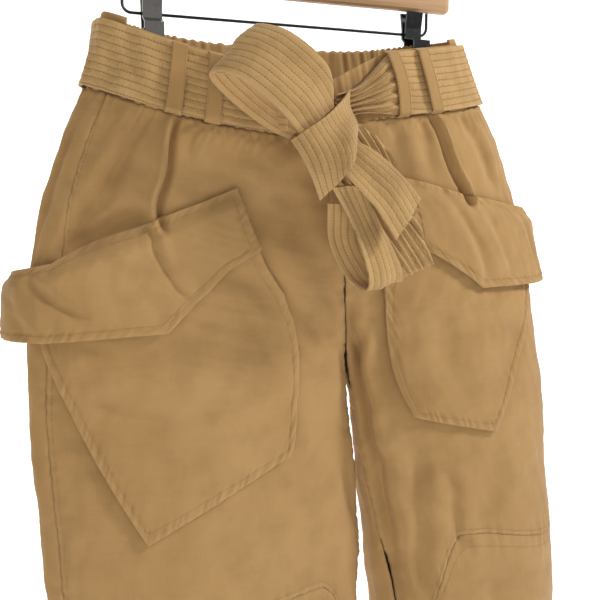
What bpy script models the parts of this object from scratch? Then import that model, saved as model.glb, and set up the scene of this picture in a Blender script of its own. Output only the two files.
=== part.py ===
"""Paperbag waist trousers with a tied sash, hanging from a clip hanger.

Metres, +Z up. The origin is the top of the hook's inside, where a rail holds the hanger.
The front faces -Y, and left and right are as seen from the front.
Each cloth piece is a thin wall lofted between sections that differ at every level.
"""

import math

import bmesh
import bpy
import numpy as np

# Driving dimensions of the cloth.
clothThick = 0.0018
bandThick = 0.0024
seamGap = 0.0004
layGap = 0.0006
pocketLay = 0.0015

# Levels are heights at the side of the body. The waist sags from there to the centre.
waistTop = -0.150
backWaistTop = -0.145
waistSeam = -0.209
kneeLevels = {"left": -0.705, "right": -0.660}
hemLevel = -1.130
crotchLevel = -0.500
mergeTop = -0.330
sagEnd = -0.420
leftSag = 0.038
rightSag = 0.020
backSag = 0.013

# Driving dimensions of the hanger.
barLength, barHeight, barThick = 0.366, 0.034, 0.013
barBottom = -0.112
wireLevel = -0.135
wireSpan = 0.315
wireRadius = 0.0015
hookRadius = 0.023
hookWire = 0.002
clipWidth, clipThick, clipBottom = 0.018, 0.0025, -0.163
clipPlaces = {"left": -0.131, "right": 0.140}

# Body sections: outer edges in X, the middle and the depths in Y, how square the back is,
# and how many degrees the centre front is turned to the right.
bodyColumns = ("level", "left", "right", "middle", "front", "back", "square", "turn")
bodyRows = (
    (-0.140, -0.183, 0.160, -0.045, 0.044, 0.045, 3.4, 0.0),
    (-0.209, -0.200, 0.193, -0.043, 0.045, 0.044, 3.0, 0.0),
    (-0.245, -0.217, 0.216, -0.040, 0.046, 0.044, 2.6, 1.0),
    (-0.290, -0.233, 0.238, -0.036, 0.045, 0.043, 2.3, 3.0),
    (-0.360, -0.248, 0.261, -0.032, 0.042, 0.041, 2.2, 6.0),
    (-0.430, -0.253, 0.275, -0.029, 0.038, 0.038, 2.2, 7.0),
    (-0.520, -0.251, 0.286, -0.028, 0.034, 0.036, 2.2, 7.0),
)

# Leg sections: outer and inner edges in X, the middle and the depths in Y, and how far the
# inseam is turned to the front, as a part of half a round.
legColumns = ("level", "outer", "inner", "middle", "front", "back", "inseam")
legRows = {
    "left": (
        (-0.330, -0.246, 0.030, -0.030, 0.034, 0.036, 0.0),
        (-0.430, -0.254, 0.048, -0.028, 0.031, 0.034, 0.0),
        (-0.500, -0.252, 0.057, -0.026, 0.030, 0.033, 0.0),
        (-0.600, -0.246, 0.068, -0.025, 0.031, 0.032, 0.0),
        (-0.690, -0.240, 0.071, -0.024, 0.031, 0.031, 0.0),
        (-0.800, -0.228, 0.058, -0.024, 0.031, 0.030, 0.0),
        (-0.960, -0.210, 0.034, -0.024, 0.032, 0.029, 0.0),
        (-1.130, -0.194, 0.014, -0.024, 0.032, 0.028, 0.0),
    ),
    "right": (
        (-0.330, 0.260, 0.0306, -0.030, 0.040, 0.040, 0.0),
        (-0.430, 0.277, 0.0488, -0.028, 0.050, 0.046, 0.0),
        (-0.500, 0.287, 0.059, -0.026, 0.057, 0.052, 0.0),
        (-0.600, 0.299, 0.074, -0.023, 0.062, 0.058, 0.06),
        (-0.690, 0.311, 0.085, -0.021, 0.064, 0.060, 0.14),
        (-0.800, 0.318, 0.099, -0.020, 0.062, 0.058, 0.16),
        (-0.960, 0.316, 0.117, -0.020, 0.056, 0.052, 0.16),
        (-1.130, 0.306, 0.132, -0.020, 0.050, 0.046, 0.16),
    ),
}
# The side seams' places: the left one shows on the front, the right one lies on the back.
seamPlaces = {"left": (0.25, 0.13), "right": (-0.25, -0.13)}

# Pockets, a row for each height: the outer and the inner edge, each as a part of the way
# round from the leg's outer edge, and its level.
pocketRows = {
    "left": (
        (0.105, -0.378, 0.780, -0.290),
        (0.141, -0.422, 0.814, -0.386),
        (0.190, -0.466, 0.797, -0.415),
        (0.285, -0.550, 0.692, -0.492),
        (0.357, -0.613, 0.668, -0.543),
    ),
    "right": (
        (0.160, -0.335, 0.800, -0.282),
        (0.200, -0.385, 0.875, -0.384),
        (0.239, -0.416, 0.845, -0.410),
        (0.345, -0.476, 0.770, -0.466),
        (0.452, -0.536, 0.702, -0.515),
    ),
}
# Flaps, a row for each corner from the outer end: the top and the bottom edge, as above.
flapRows = {
    "left": (
        (-0.080, -0.368, -0.080, -0.421),
        (0.212, -0.355, 0.180, -0.422),
        (0.503, -0.316, 0.486, -0.418),
        (0.760, -0.265, 0.797, -0.332),
    ),
    "right": (
        (-0.020, -0.317, -0.020, -0.388),
        (0.280, -0.306, 0.260, -0.391),
        (0.550, -0.290, 0.523, -0.391),
        (0.780, -0.264, 0.790, -0.338),
    ),
}
flapLift = {"left": 0.013, "right": 0.006}

# Belt carriers: how far round from the centre front (1 is the side, 2 the centre back).
carrierRows = (("carrier_1", -0.46), ("carrier_2", -0.33), ("carrier_3", 0.29),
               ("carrier_4", 0.44), ("carrier_5", -1.35), ("carrier_6", 1.35), ("carrier_7", 1.98))
carrierWidth = 0.012

# Sash stretches: a row for each end or fold, as the two edges of the ribbon there.
ribbonColumns = ("lowX", "lowY", "lowZ", "highX", "highY", "highZ")
ribbons = {
    "bow_loop_up": (
        (-0.034, -0.1225, -0.250, -0.002, -0.1165, -0.226),
        (-0.060, -0.1370, -0.230, -0.020, -0.1420, -0.194),
        (-0.092, -0.1380, -0.208, -0.052, -0.1440, -0.170),
        (-0.110, -0.1260, -0.202, -0.074, -0.1320, -0.162),
        (-0.108, -0.1080, -0.206, -0.072, -0.1140, -0.164),
        (-0.084, -0.0985, -0.224, -0.046, -0.1020, -0.180),
        (-0.054, -0.0926, -0.242, -0.016, -0.0950, -0.204),
        (-0.034, -0.0920, -0.250, 0.004, -0.0940, -0.220),
    ),
    "bow_loop_down": (
        (-0.014, -0.1377, -0.292, 0.014, -0.1405, -0.290),
        (0.004, -0.1340, -0.318, 0.036, -0.1280, -0.320),
        (0.016, -0.1360, -0.346, 0.050, -0.1300, -0.346),
        (0.026, -0.1320, -0.374, 0.062, -0.1260, -0.368),
        (0.026, -0.1220, -0.383, 0.064, -0.1180, -0.375),
        (0.014, -0.1100, -0.372, 0.056, -0.1150, -0.366),
        (-0.001, -0.1060, -0.340, 0.040, -0.1160, -0.340),
        (-0.008, -0.1180, -0.306, 0.020, -0.1240, -0.304),
    ),
    "bow_tail_front": (
        (-0.012, -0.1430, -0.274, 0.002, -0.1240, -0.248),
        (0.010, -0.1472, -0.297, 0.027, -0.1370, -0.261),
        (0.026, -0.1490, -0.314, 0.048, -0.1480, -0.282),
        (0.044, -0.1460, -0.337, 0.067, -0.1470, -0.302),
    ),
    "bow_tail_back": (
        (-0.004, -0.1170, -0.282, 0.018, -0.1228, -0.238),
        (0.018, -0.1120, -0.306, 0.044, -0.1160, -0.251),
        (0.040, -0.1060, -0.336, 0.066, -0.1120, -0.279),
        (0.058, -0.1020, -0.360, 0.090, -0.1050, -0.325),
        (0.073, -0.0980, -0.376, 0.110, -0.0980, -0.363),
    ),
}
# The knot's rows run down it, each from its left edge to its right one.
knotRows = (
    (-0.046, -0.1270, -0.254, 0.024, -0.0925, -0.205),
    (-0.040, -0.1330, -0.266, 0.023, -0.0965, -0.220),
    (-0.030, -0.1340, -0.284, 0.017, -0.1250, -0.238),
    (-0.020, -0.1290, -0.303, 0.011, -0.1345, -0.254),
)
knotBulge = 0.020


def column(rows, names, name, level):
    """One column of a table at any level, on a smooth curve through its rows."""
    heights = np.array([row[names.index("level")] for row in rows])[::-1]
    values = np.array([row[names.index(name)] for row in rows])[::-1]
    slopes = np.gradient(values, heights)
    level = np.clip(level, heights[0], heights[-1])
    low = np.clip(np.searchsorted(heights, level) - 1, 0, len(heights) - 2)
    span = heights[low + 1] - heights[low]
    part = (level - heights[low]) / span
    ease = part * part * (3 - 2 * part)
    bend = part * (1 - part) * ((1 - part) * slopes[low] - part * slopes[low + 1]) * span
    return values[low] * (1 - ease) + values[low + 1] * ease + bend


def smooth(part):
    part = np.clip(part, 0.0, 1.0)
    return part * part * (3 - 2 * part)


def clothPoints(side, way, level):
    """The outside of the cloth: way is 0 at the leg's outer edge, 1 round the front, -1 round the back."""
    way, level = np.broadcast_arrays(np.asarray(way, float), np.asarray(level, float))
    sign = -1.0 if side == "left" else 1.0
    body = {name: column(bodyRows, bodyColumns, name, level) for name in bodyColumns[1:]}
    centre = (body["left"] + body["right"]) / 2
    half = (body["right"] - body["left"]) / 2
    turn = -sign * np.radians(body["turn"])
    angle = np.abs(way) * (math.pi / 2 + turn)
    power = np.where(way > 0, 1.0, 2.0 / body["square"])
    across = np.sign(np.cos(angle)) * np.abs(np.cos(angle)) ** power
    outward = np.abs(np.sin(angle)) ** power
    bodyX = centre + sign * half * across
    bodyY = body["middle"] + np.where(way > 0, -body["front"], body["back"]) * outward

    rows = legRows[side]
    leg = {name: column(rows, legColumns, name, level) for name in legColumns[1:]}
    angle = way * math.pi
    legX = (leg["outer"] + leg["inner"]) / 2 + (leg["outer"] - leg["inner"]) / 2 * np.cos(angle)
    depth = np.where(np.sin(angle) > 0, leg["front"], leg["back"])
    legY = leg["middle"] - depth * np.sin(angle)

    merge = smooth((mergeTop - level) / (mergeTop - crotchLevel))
    x = bodyX * (1 - merge) + legX * merge
    y = bodyY * (1 - merge) + legY * merge
    frontSag = leftSag if side == "left" else rightSag
    centreSag = (leftSag - frontSag) * np.abs(way) ** 8
    bow = np.sin(np.abs(way) * math.pi / 2) ** 2
    sag = np.where(way > 0, frontSag * bow + centreSag, backSag * bow ** 2)
    z = level - sag * (1 - smooth((waistSeam - level) / (waistSeam - sagEnd)))
    return np.stack([x, y, z], -1)


def clothNormals(side, way, level):
    """Unit normals that point out of the garment."""
    stepWay, stepLevel = 0.004, 0.002
    along = clothPoints(side, way + stepWay, level) - clothPoints(side, way - stepWay, level)
    up = clothPoints(side, way, level + stepLevel) - clothPoints(side, way, level - stepLevel)
    normal = np.cross(along, up) * (1.0 if side == "left" else -1.0)
    return normal / np.linalg.norm(normal, axis=-1, keepdims=True)


def roundPoints(place, level):
    """Points and normals by place round the waist: 0 centre front, -1 and 1 sides, -2 and 2 centre back."""
    place, level = np.broadcast_arrays(np.asarray(place, float), np.asarray(level, float))
    onLeft = place <= 0
    points = np.where(onLeft[..., None], clothPoints("left", 1 + place, level),
                      clothPoints("right", 1 - place, level))
    normals = np.where(onLeft[..., None], clothNormals("left", 1 + place, level),
                       clothNormals("right", 1 - place, level))
    return points, normals


def seamPlace(side, level):
    """Where the side seam runs, between its place on the body and its place on the leg."""
    merge = smooth((mergeTop - level) / (mergeTop - crotchLevel))
    onBody, onLeg = seamPlaces[side]
    return onBody * (1 - merge) + onLeg * merge


def kneeSeam(side, part):
    """The knee seam's level: nearly straight from the side, then dipping towards the inseam."""
    rise = 0.020 * smooth((part - 0.35) / 0.35)
    return kneeLevels[side] + rise - 0.120 * smooth((part - 0.68) / 0.30)


def gridNormals(points):
    """Unit normals of a free grid, from the directions of its rows and columns."""
    normal = np.cross(np.gradient(points, axis=1), np.gradient(points, axis=0))
    return normal / np.linalg.norm(normal, axis=-1, keepdims=True)


def addMaterial(piece, name, colour, roughness, metallic=0.0):
    material = bpy.data.materials.new(name)
    material.use_nodes = True
    shader = material.node_tree.nodes["Principled BSDF"]
    shader.inputs["Base Color"].default_value = (*colour, 1.0)
    shader.inputs["Roughness"].default_value = roughness
    shader.inputs["Metallic"].default_value = metallic
    piece.data.materials.append(material)


def addMesh(name, vertices, faces):
    mesh = bpy.data.meshes.new(name)
    mesh.from_pydata(vertices.tolist(), [], faces)
    piece = bpy.data.objects.new(name, mesh)
    partCollection.objects.link(piece)
    shape = bmesh.new()
    shape.from_mesh(mesh)
    bmesh.ops.recalc_face_normals(shape, faces=shape.faces)
    shape.to_mesh(mesh)
    shape.free()
    mesh.shade_smooth()
    mesh.set_sharp_from_angle(angle=math.radians(40))
    return piece


def trimSeams(points, left=True, right=True, top=True, bottom=True):
    """Draws a grid's edges in by half the seam gap, along its rows and columns."""
    points = points.copy()
    edges = ((right, points[:, -1], points[:, -2]), (left, points[:, 0], points[:, 1]),
             (bottom, points[-1], points[-2]), (top, points[0], points[1]))
    for wanted, edge, inside in edges:
        if wanted:
            step = inside - edge
            edge += step / np.linalg.norm(step, axis=-1, keepdims=True) * seamGap / 2
    return points


def clothShell(name, near, far, colour):
    """A closed wall between two grids of points, the wall's two faces."""
    rows, columns = near.shape[:2]
    count = rows * columns
    index = np.arange(count).reshape(rows, columns)
    faces = []
    for side in (index, index + count):
        corners = (side[:-1, :-1], side[:-1, 1:], side[1:, 1:], side[1:, :-1])
        faces += np.stack(corners, -1).reshape(-1, 4).tolist()
    rim = np.concatenate([index[0, :-1], index[:-1, -1], index[-1, :0:-1], index[:0:-1, 0]])
    following = np.roll(rim, -1)
    faces += np.stack([rim, following, following + count, rim + count], -1).tolist()
    vertices = np.concatenate([near.reshape(-1, 3), far.reshape(-1, 3)])
    piece = addMesh(name, vertices, faces)
    addMaterial(piece, name, colour, 0.9)
    return piece


legPanelColumns = 15
camel = (0.42, 0.24, 0.09)
camelLight = (0.50, 0.31, 0.13)
wood = (0.62, 0.42, 0.22)
steel = (0.35, 0.35, 0.36)
black = (0.02, 0.02, 0.022)


def legPanel(name, side, fromWay, toWay, ends, counts, trims, colour):
    """A leg panel: fromWay and toWay give its edges, and ends its levels across it, top first."""
    part = np.linspace(0, 1, legPanelColumns)
    stretches = [np.linspace(upper(part), lower(part), count, endpoint=False)
                 for upper, lower, count in zip(ends, ends[1:], counts)]
    level = np.concatenate(stretches + [ends[-1](part)[None, :]])
    way = fromWay(level) * (1 - part) + toWay(level) * part
    points = trimSeams(clothPoints(side, way, level), top=trims[0], bottom=trims[1])
    clothShell(name, points, points - clothThick * clothNormals(side, way, level), colour)


def innerPlace(side, level):
    return 1 - column(legRows[side], legColumns, "inseam", level)


def legs():
    waist = lambda part: np.full_like(part, waistSeam)
    crotch = lambda part: np.full_like(part, crotchLevel)
    hem = lambda part: np.full_like(part, hemLevel)
    for side in ("left", "right"):
        seam = lambda level: seamPlace(side, level)
        inner = lambda level: innerPlace(side, level)
        innerBack = lambda level: innerPlace(side, level) - 2
        knee = lambda part: kneeSeam(side, part)
        kneeBehind = lambda part: kneeSeam(side, 0) * part + kneeSeam(side, 1) * (1 - part)
        legPanel("front_" + side, side, seam, inner, (waist, crotch, knee), (8, 4),
                 (True, True), camel)
        legPanel("shin_" + side, side, seam, inner, (knee, hem), (6,), (True, False), camel)
        legPanel("back_" + side, side, innerBack, seam, (waist, crotch, kneeBehind, hem), (8, 4, 6),
                 (True, False), camel)


def waistPiece(name, places, levels, lift, thick, colour):
    """A piece that follows the waist, between two distances out from it."""
    points, normals = roundPoints(places, levels)
    points = trimSeams(points)
    clothShell(name, points + lift * normals, points + (lift + thick) * normals, colour)


splitPlace = 0.72
beltLift = layGap
beltThick = 0.0026
beltTop, beltBottom = -0.152, -0.208
centreDip = 0.018


def waistbands():
    front = np.linspace(-splitPlace, splitPlace, 19)[None, :]
    top = waistTop - centreDip * smooth(1 - np.abs(front) / 0.36)
    down = np.linspace(0, 1, 4)[:, None]
    levels = top * (1 - down) + waistSeam * down
    waistPiece("front_waistband", front, levels, -bandThick, bandThick, camelLight)
    levels = np.linspace(backWaistTop, waistSeam, 4)[:, None]
    left = np.linspace(-splitPlace, -2, 15)
    points, normals = roundPoints(left[None, :], levels)
    rightPoints, rightNormals = roundPoints(-left[None, -2::-1], levels)
    points = trimSeams(np.concatenate([points, rightPoints], 1))
    normals = np.concatenate([normals, rightNormals], 1)
    clothShell("back_waistband", points, points - bandThick * normals, camelLight)


def beltStretches():
    levels = np.linspace(beltTop, beltBottom, 5)[:, None]
    left = np.linspace(-1.0, -0.10, 14)[None, :]
    waistPiece("belt_left", left, levels, beltLift, beltThick, camelLight)
    right = np.linspace(1.0, 0.06, 14)[None, :]
    bunched = 1 - smooth((right - 0.10) / 0.22)
    centre = (beltTop + beltBottom) / 2
    narrowed = centre + (levels - centre) * (1 - 0.62 * bunched) - 0.010 * bunched
    waistPiece("belt_right", right, narrowed, beltLift, beltThick, camelLight)
    back = np.linspace(-1.0, -2.0, 13)
    points, normals = roundPoints(back[None, :], levels)
    rightPoints, rightNormals = roundPoints(-back[None, -2::-1], levels)
    points = trimSeams(np.concatenate([points, rightPoints], 1))
    normals = np.concatenate([normals, rightNormals], 1)
    clothShell("belt_back", points + beltLift * normals, points + (beltLift + beltThick) * normals,
               camelLight)


def carriers():
    """Bands over the belt, whose ends turn in to the waistband above and below it."""
    over = beltLift + beltThick + layGap
    reach = 0.0016
    levels = np.array([beltTop + reach, beltTop + 0.0004, -0.170, -0.190, beltBottom - 0.0004,
                       beltBottom - reach])[:, None]
    lifts = np.array([0.0005, over, over, over, over, 0.0005])[:, None, None]
    for name, place in carrierRows:
        side = 0.5 * carrierWidth / 0.30 * 1.6
        places = np.linspace(place - side / 2, place + side / 2, 3)[None, :]
        points, normals = roundPoints(places, levels)
        clothShell(name, points + lifts * normals, points + (lifts + clothThick) * normals, camelLight)


def alongRows(values, steps):
    """Rows of a table with straight steps put in between them."""
    values = np.array(values)
    place = np.concatenate([np.arange(len(steps)).repeat(steps)
                            + np.concatenate([np.arange(n) / n for n in steps]), [len(steps)]])
    return np.stack([np.interp(place, np.arange(len(values)), column) for column in values.T], -1)


def patch(name, side, edges, count, lift, colour):
    """A patch on a leg between two edges, moved out from the leg's own points by a lift."""
    over = np.linspace(0, 1, count)[None, :, None]
    place = edges[:, None, :2] * (1 - over) + edges[:, None, 2:] * over
    way, level = place[..., 0], place[..., 1]
    points = clothPoints(side, way, level)
    normals = clothNormals(side, way, level)
    rise = lift(np.linspace(0, 1, len(edges))[:, None], over[..., 0])[..., None]
    clothShell(name, points + rise * normals, points + (rise + clothThick) * normals, colour)


def pockets():
    for side in ("left", "right"):
        flat = lambda down, across: pocketLay + 0 * down * across
        patch("pocket_" + side, side, alongRows(pocketRows[side], (2, 1, 3, 2)), 11, flat, camel)
        over = pocketLay + clothThick + pocketLay
        lifted = lambda along, down: (pocketLay * (1 - smooth(down * 5)) + over * smooth(down * 5)
                                      + flapLift[side] * (1 - along) ** 3 + 0.002 * down)
        patch("flap_" + side, side, alongRows(flapRows[side], (4, 3, 3)), 6, lifted, camelLight)


def ribbon(name, rows, colour, across=4, between=3, bulge=0.0):
    """A ribbon through its rows on a smooth curve, each row the ribbon's two edges there."""
    rows = np.array(rows).reshape(len(rows), 2, 3)
    place = np.linspace(0, len(rows) - 1, (len(rows) - 1) * between + 1)
    low = np.clip(place.astype(int), 0, len(rows) - 2)
    part = (place - low)[:, None, None]
    slopes = np.gradient(rows, axis=0)
    ease = smooth(part)
    bend = part * (1 - part) * ((1 - part) * slopes[low] - part * slopes[low + 1])
    edges = rows[low] * (1 - ease) + rows[low + 1] * ease + bend
    over = np.linspace(0, 1, across)[None, :, None]
    points = edges[:, :1] * (1 - over) + edges[:, 1:] * over
    points[..., 1] -= bulge * np.sin(math.pi * over[..., 0])
    half = clothThick / 2 * gridNormals(points)
    clothShell(name, points - half, points + half, colour)


def bow():
    for name, rows in ribbons.items():
        ribbon(name, rows, camelLight)
    ribbon("bow_knot", knotRows, camelLight, across=6, bulge=knotBulge)


def curveTube(name, points, radius, colour, metallic):
    curve = bpy.data.curves.new(name, "CURVE")
    curve.dimensions = "3D"
    curve.bevel_depth = radius
    curve.bevel_resolution = 2
    curve.use_fill_caps = True
    spline = curve.splines.new("POLY")
    spline.points.add(len(points) - 1)
    for target, point in zip(spline.points, points):
        target.co = (*point, 1.0)
    piece = bpy.data.objects.new(name, curve)
    partCollection.objects.link(piece)
    addMaterial(piece, name, colour, 0.35, metallic)


def arc(centreX, centreZ, radius, start, end, count):
    angles = np.radians(np.linspace(start, end, count))
    return [(centreX + radius * math.cos(a), 0.0, centreZ + radius * math.sin(a)) for a in angles]


def hanger():
    bpy.ops.mesh.primitive_cube_add(size=1, location=(0, 0, barBottom + barHeight / 2))
    bar = bpy.context.object
    bar.name = "hanger_bar"
    bar.data.name = "hanger_bar"
    bar.scale = (barLength, barThick, barHeight)
    bpy.ops.object.transform_apply(location=False, rotation=False, scale=True)
    edges = bar.modifiers.new("rounded edges", "BEVEL")
    edges.width = 0.006
    edges.segments = 3
    for collection in list(bar.users_collection):
        collection.objects.unlink(bar)
    partCollection.objects.link(bar)
    addMaterial(bar, "hanger_bar", wood, 0.45)

    barTop = barBottom + barHeight
    stem = [(-0.0035 * math.sin(math.pi * s), 0.0, -0.052 - s * (-0.052 - barTop - seamGap))
            for s in np.linspace(0.2, 1, 5)]
    stem = [(0.0, 0.0, z) for _, _, z in stem]
    bend = [(-hookRadius * 0.82 * math.cos(s) ** 2, 0.0, -0.034 - 0.018 * math.sin(s))
            for s in np.linspace(0.35, 1.45, 6)]
    hook = arc(0.0, hookWire - hookRadius, hookRadius, -20, 205, 19)
    curveTube("hanger_hook", hook + bend + stem, hookWire, steel, 0.9)

    bendRadius = 0.008
    top = barBottom - seamGap
    low = wireLevel + bendRadius
    edge = wireSpan / 2
    left = [(-edge, 0.0, top)] + arc(bendRadius - edge, low, bendRadius, 180, 270, 6)
    right = arc(edge - bendRadius, low, bendRadius, 270, 360, 6) + [(edge, 0.0, top)]
    curveTube("hanger_wire", left + right, wireRadius, black, 0.6)


def clips():
    """Two spring jaws at each place: they straddle the wire and grip the back waistband."""
    for side, x in clipPlaces.items():
        place = np.linspace(1.0, 2.0, 400) * (-1 if side == "left" else 1)
        ring, _ = roundPoints(place, np.array([backWaistTop, clipBottom])[:, None])
        held = ring[..., 1][np.abs(ring[..., 0] - x) < clipWidth / 2 + bandThick]
        inside = held.min() - bandThick - layGap
        outside = held.max() + beltLift + beltThick + layGap
        wireOff = wireRadius + seamGap
        profile = (
            (wireOff + 0.0035, barBottom - 0.001),
            (wireOff + 0.0002, wireLevel + 0.006),
            (wireOff + 0.0002, wireLevel - 0.004),
            (None, backWaistTop + 0.002),
            (None, clipBottom),
        )
        for face, sign, cloth in (("front", -1, inside), ("back", 1, outside)):
            rows = []
            for off, z in profile:
                y = cloth if off is None else sign * off
                rows.append(((x - clipWidth / 2, y, z), (x + clipWidth / 2, y, z)))
            near = np.array(rows)
            far = near + np.array((0.0, sign * clipThick, 0.0))
            colour = steel if side == "left" else black
            name = f"clip_{side}_{face}"
            clothShell(name, near, far, colour)


for old in list(bpy.data.objects):
    bpy.data.objects.remove(old, do_unlink=True)
partCollection = bpy.data.collections.new("paperbag_waist_trousers")
bpy.context.scene.collection.children.link(partCollection)

legs()
waistbands()
beltStretches()
carriers()
pockets()
bow()
hanger()
clips()
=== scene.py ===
import math

import bpy
import numpy as np
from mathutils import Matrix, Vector


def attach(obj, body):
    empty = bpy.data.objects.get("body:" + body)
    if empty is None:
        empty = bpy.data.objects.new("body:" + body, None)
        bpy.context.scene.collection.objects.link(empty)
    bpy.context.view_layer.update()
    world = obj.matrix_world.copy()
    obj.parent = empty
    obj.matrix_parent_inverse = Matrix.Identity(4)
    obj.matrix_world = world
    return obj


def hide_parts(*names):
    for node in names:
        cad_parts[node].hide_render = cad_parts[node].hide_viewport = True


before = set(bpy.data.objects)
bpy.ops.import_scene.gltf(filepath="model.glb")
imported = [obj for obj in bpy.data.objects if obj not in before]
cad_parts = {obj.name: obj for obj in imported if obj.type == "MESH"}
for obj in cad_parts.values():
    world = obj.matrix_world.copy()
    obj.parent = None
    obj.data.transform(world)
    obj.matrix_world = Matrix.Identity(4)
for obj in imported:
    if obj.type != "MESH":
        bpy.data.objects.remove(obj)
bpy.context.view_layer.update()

print("frame loaded")

# Camera, from a little to the left of the hanger and level with the top of the legs.
view = {"distance": 0.900, "turn": 23.0, "aimRight": 0.016, "height": -0.303, "down": 6.34, "lens": 54.0}
turn, down = math.radians(view["turn"]), math.radians(view["down"])
cameraData = bpy.data.cameras.new("camera")
cameraData.lens = view["lens"]
cameraData.sensor_width = 36.0
camera = bpy.data.objects.new("camera", cameraData)
camera.location = (view["aimRight"] - view["distance"] * math.sin(turn),
                   -view["distance"] * math.cos(turn), view["height"])
bpy.context.scene.view_settings.view_transform = "Standard"
looking = Vector((math.sin(turn) * math.cos(down), math.cos(turn) * math.cos(down), -math.sin(down)))
camera.rotation_euler = looking.to_track_quat("-Z", "Y").to_euler()
bpy.context.scene.collection.objects.link(camera)
bpy.context.scene.camera = camera

# Gaps and walls, in metres.
seamGap = 0.0004
layGap = 0.0006
pocketLay = 0.0015
clothThick = 0.0018
bandThick = 0.0024
beltLift, beltThick = layGap, 0.0026
carrierWidth = 0.012
knotBulge = 0.020

# Levels are heights at the body's sides, before the waist sags between the clips.
waistTop, backWaistTop, waistSeam = -0.150, -0.145, -0.209
beltTop, beltBottom, centreDip = -0.152, -0.208, 0.018
kneeLevels = {"left": -0.705, "right": -0.660}
hemLevel, crotchLevel, mergeTop, sagEnd = -1.130, -0.500, -0.330, -0.420
leftSag, rightSag, backSag = 0.038, 0.020, 0.013

# Where the two waistbands meet, how much cloth a way of one takes up, how strongly the
# creases stand, and the gap between the sash's rows of stitching.
splitPlace = 0.72
wayLength = 0.30
creaseStrength = 1.25
rowGap = 0.0063

# Rows and columns of each piece's grid.
grids = {"front": (170, 120), "shin": (110, 100), "back": (230, 110), "pocket": (130, 130),
         "flap": (150, 60), "carrier": (60, 24), "band": (24, 260), "belt": (70, 240)}

# Body sections: outer edges in X, the middle and the depths in Y, how square the back is,
# and how many degrees the centre front is turned to the right.
bodyColumns = ("level", "left", "right", "middle", "front", "back", "square", "turn")
bodyRows = (
    (-0.140, -0.183, 0.160, -0.045, 0.044, 0.045, 3.4, 0.0),
    (-0.209, -0.200, 0.193, -0.043, 0.045, 0.044, 3.0, 0.0),
    (-0.245, -0.217, 0.216, -0.040, 0.046, 0.044, 2.6, 1.0),
    (-0.290, -0.233, 0.238, -0.036, 0.045, 0.043, 2.3, 3.0),
    (-0.360, -0.248, 0.261, -0.032, 0.042, 0.041, 2.2, 6.0),
    (-0.430, -0.253, 0.275, -0.029, 0.038, 0.038, 2.2, 7.0),
    (-0.520, -0.251, 0.286, -0.028, 0.034, 0.036, 2.2, 7.0),
)

# Leg sections: outer and inner edges in X, the middle and the depths in Y, and how far the
# inseam is turned to the front, as a part of half a round.
legColumns = ("level", "outer", "inner", "middle", "front", "back", "inseam")
legRows = {
    "left": (
        (-0.330, -0.246, 0.030, -0.030, 0.034, 0.036, 0.0),
        (-0.430, -0.254, 0.048, -0.028, 0.031, 0.034, 0.0),
        (-0.500, -0.252, 0.057, -0.026, 0.030, 0.033, 0.0),
        (-0.600, -0.246, 0.068, -0.025, 0.031, 0.032, 0.0),
        (-0.690, -0.240, 0.071, -0.024, 0.031, 0.031, 0.0),
        (-0.800, -0.228, 0.058, -0.024, 0.031, 0.030, 0.0),
        (-0.960, -0.210, 0.034, -0.024, 0.032, 0.029, 0.0),
        (-1.130, -0.194, 0.014, -0.024, 0.032, 0.028, 0.0),
    ),
    "right": (
        (-0.330, 0.260, 0.0306, -0.030, 0.040, 0.040, 0.0),
        (-0.430, 0.277, 0.0488, -0.028, 0.050, 0.046, 0.0),
        (-0.500, 0.287, 0.059, -0.026, 0.057, 0.052, 0.0),
        (-0.600, 0.299, 0.074, -0.023, 0.062, 0.058, 0.06),
        (-0.690, 0.311, 0.085, -0.021, 0.064, 0.060, 0.14),
        (-0.800, 0.318, 0.099, -0.020, 0.062, 0.058, 0.16),
        (-0.960, 0.316, 0.117, -0.020, 0.056, 0.052, 0.16),
        (-1.130, 0.306, 0.132, -0.020, 0.050, 0.046, 0.16),
    ),
}
# The side seams' places: the left one shows on the front, the right one lies on the back.
seamPlaces = {"left": (0.25, 0.13), "right": (-0.25, -0.13)}

# Pockets, a row for each height: the outer and the inner edge, each as a part of the way
# round from the leg's outer edge, and its level.
pocketRows = {
    "left": (
        (0.105, -0.378, 0.780, -0.290),
        (0.141, -0.422, 0.814, -0.386),
        (0.190, -0.466, 0.797, -0.415),
        (0.285, -0.550, 0.692, -0.492),
        (0.357, -0.613, 0.668, -0.543),
    ),
    "right": (
        (0.160, -0.335, 0.800, -0.282),
        (0.200, -0.385, 0.875, -0.384),
        (0.239, -0.416, 0.845, -0.410),
        (0.345, -0.476, 0.770, -0.466),
        (0.452, -0.536, 0.702, -0.515),
    ),
}
# Flaps, a row for each corner from the outer end: the top and the bottom edge, as above.
flapRows = {
    "left": (
        (-0.080, -0.368, -0.080, -0.421),
        (0.212, -0.355, 0.180, -0.422),
        (0.503, -0.316, 0.486, -0.418),
        (0.760, -0.265, 0.797, -0.332),
    ),
    "right": (
        (-0.020, -0.317, -0.020, -0.388),
        (0.280, -0.306, 0.260, -0.391),
        (0.550, -0.290, 0.523, -0.391),
        (0.780, -0.264, 0.790, -0.338),
    ),
}
flapLift = {"left": 0.013, "right": 0.006}

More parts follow.
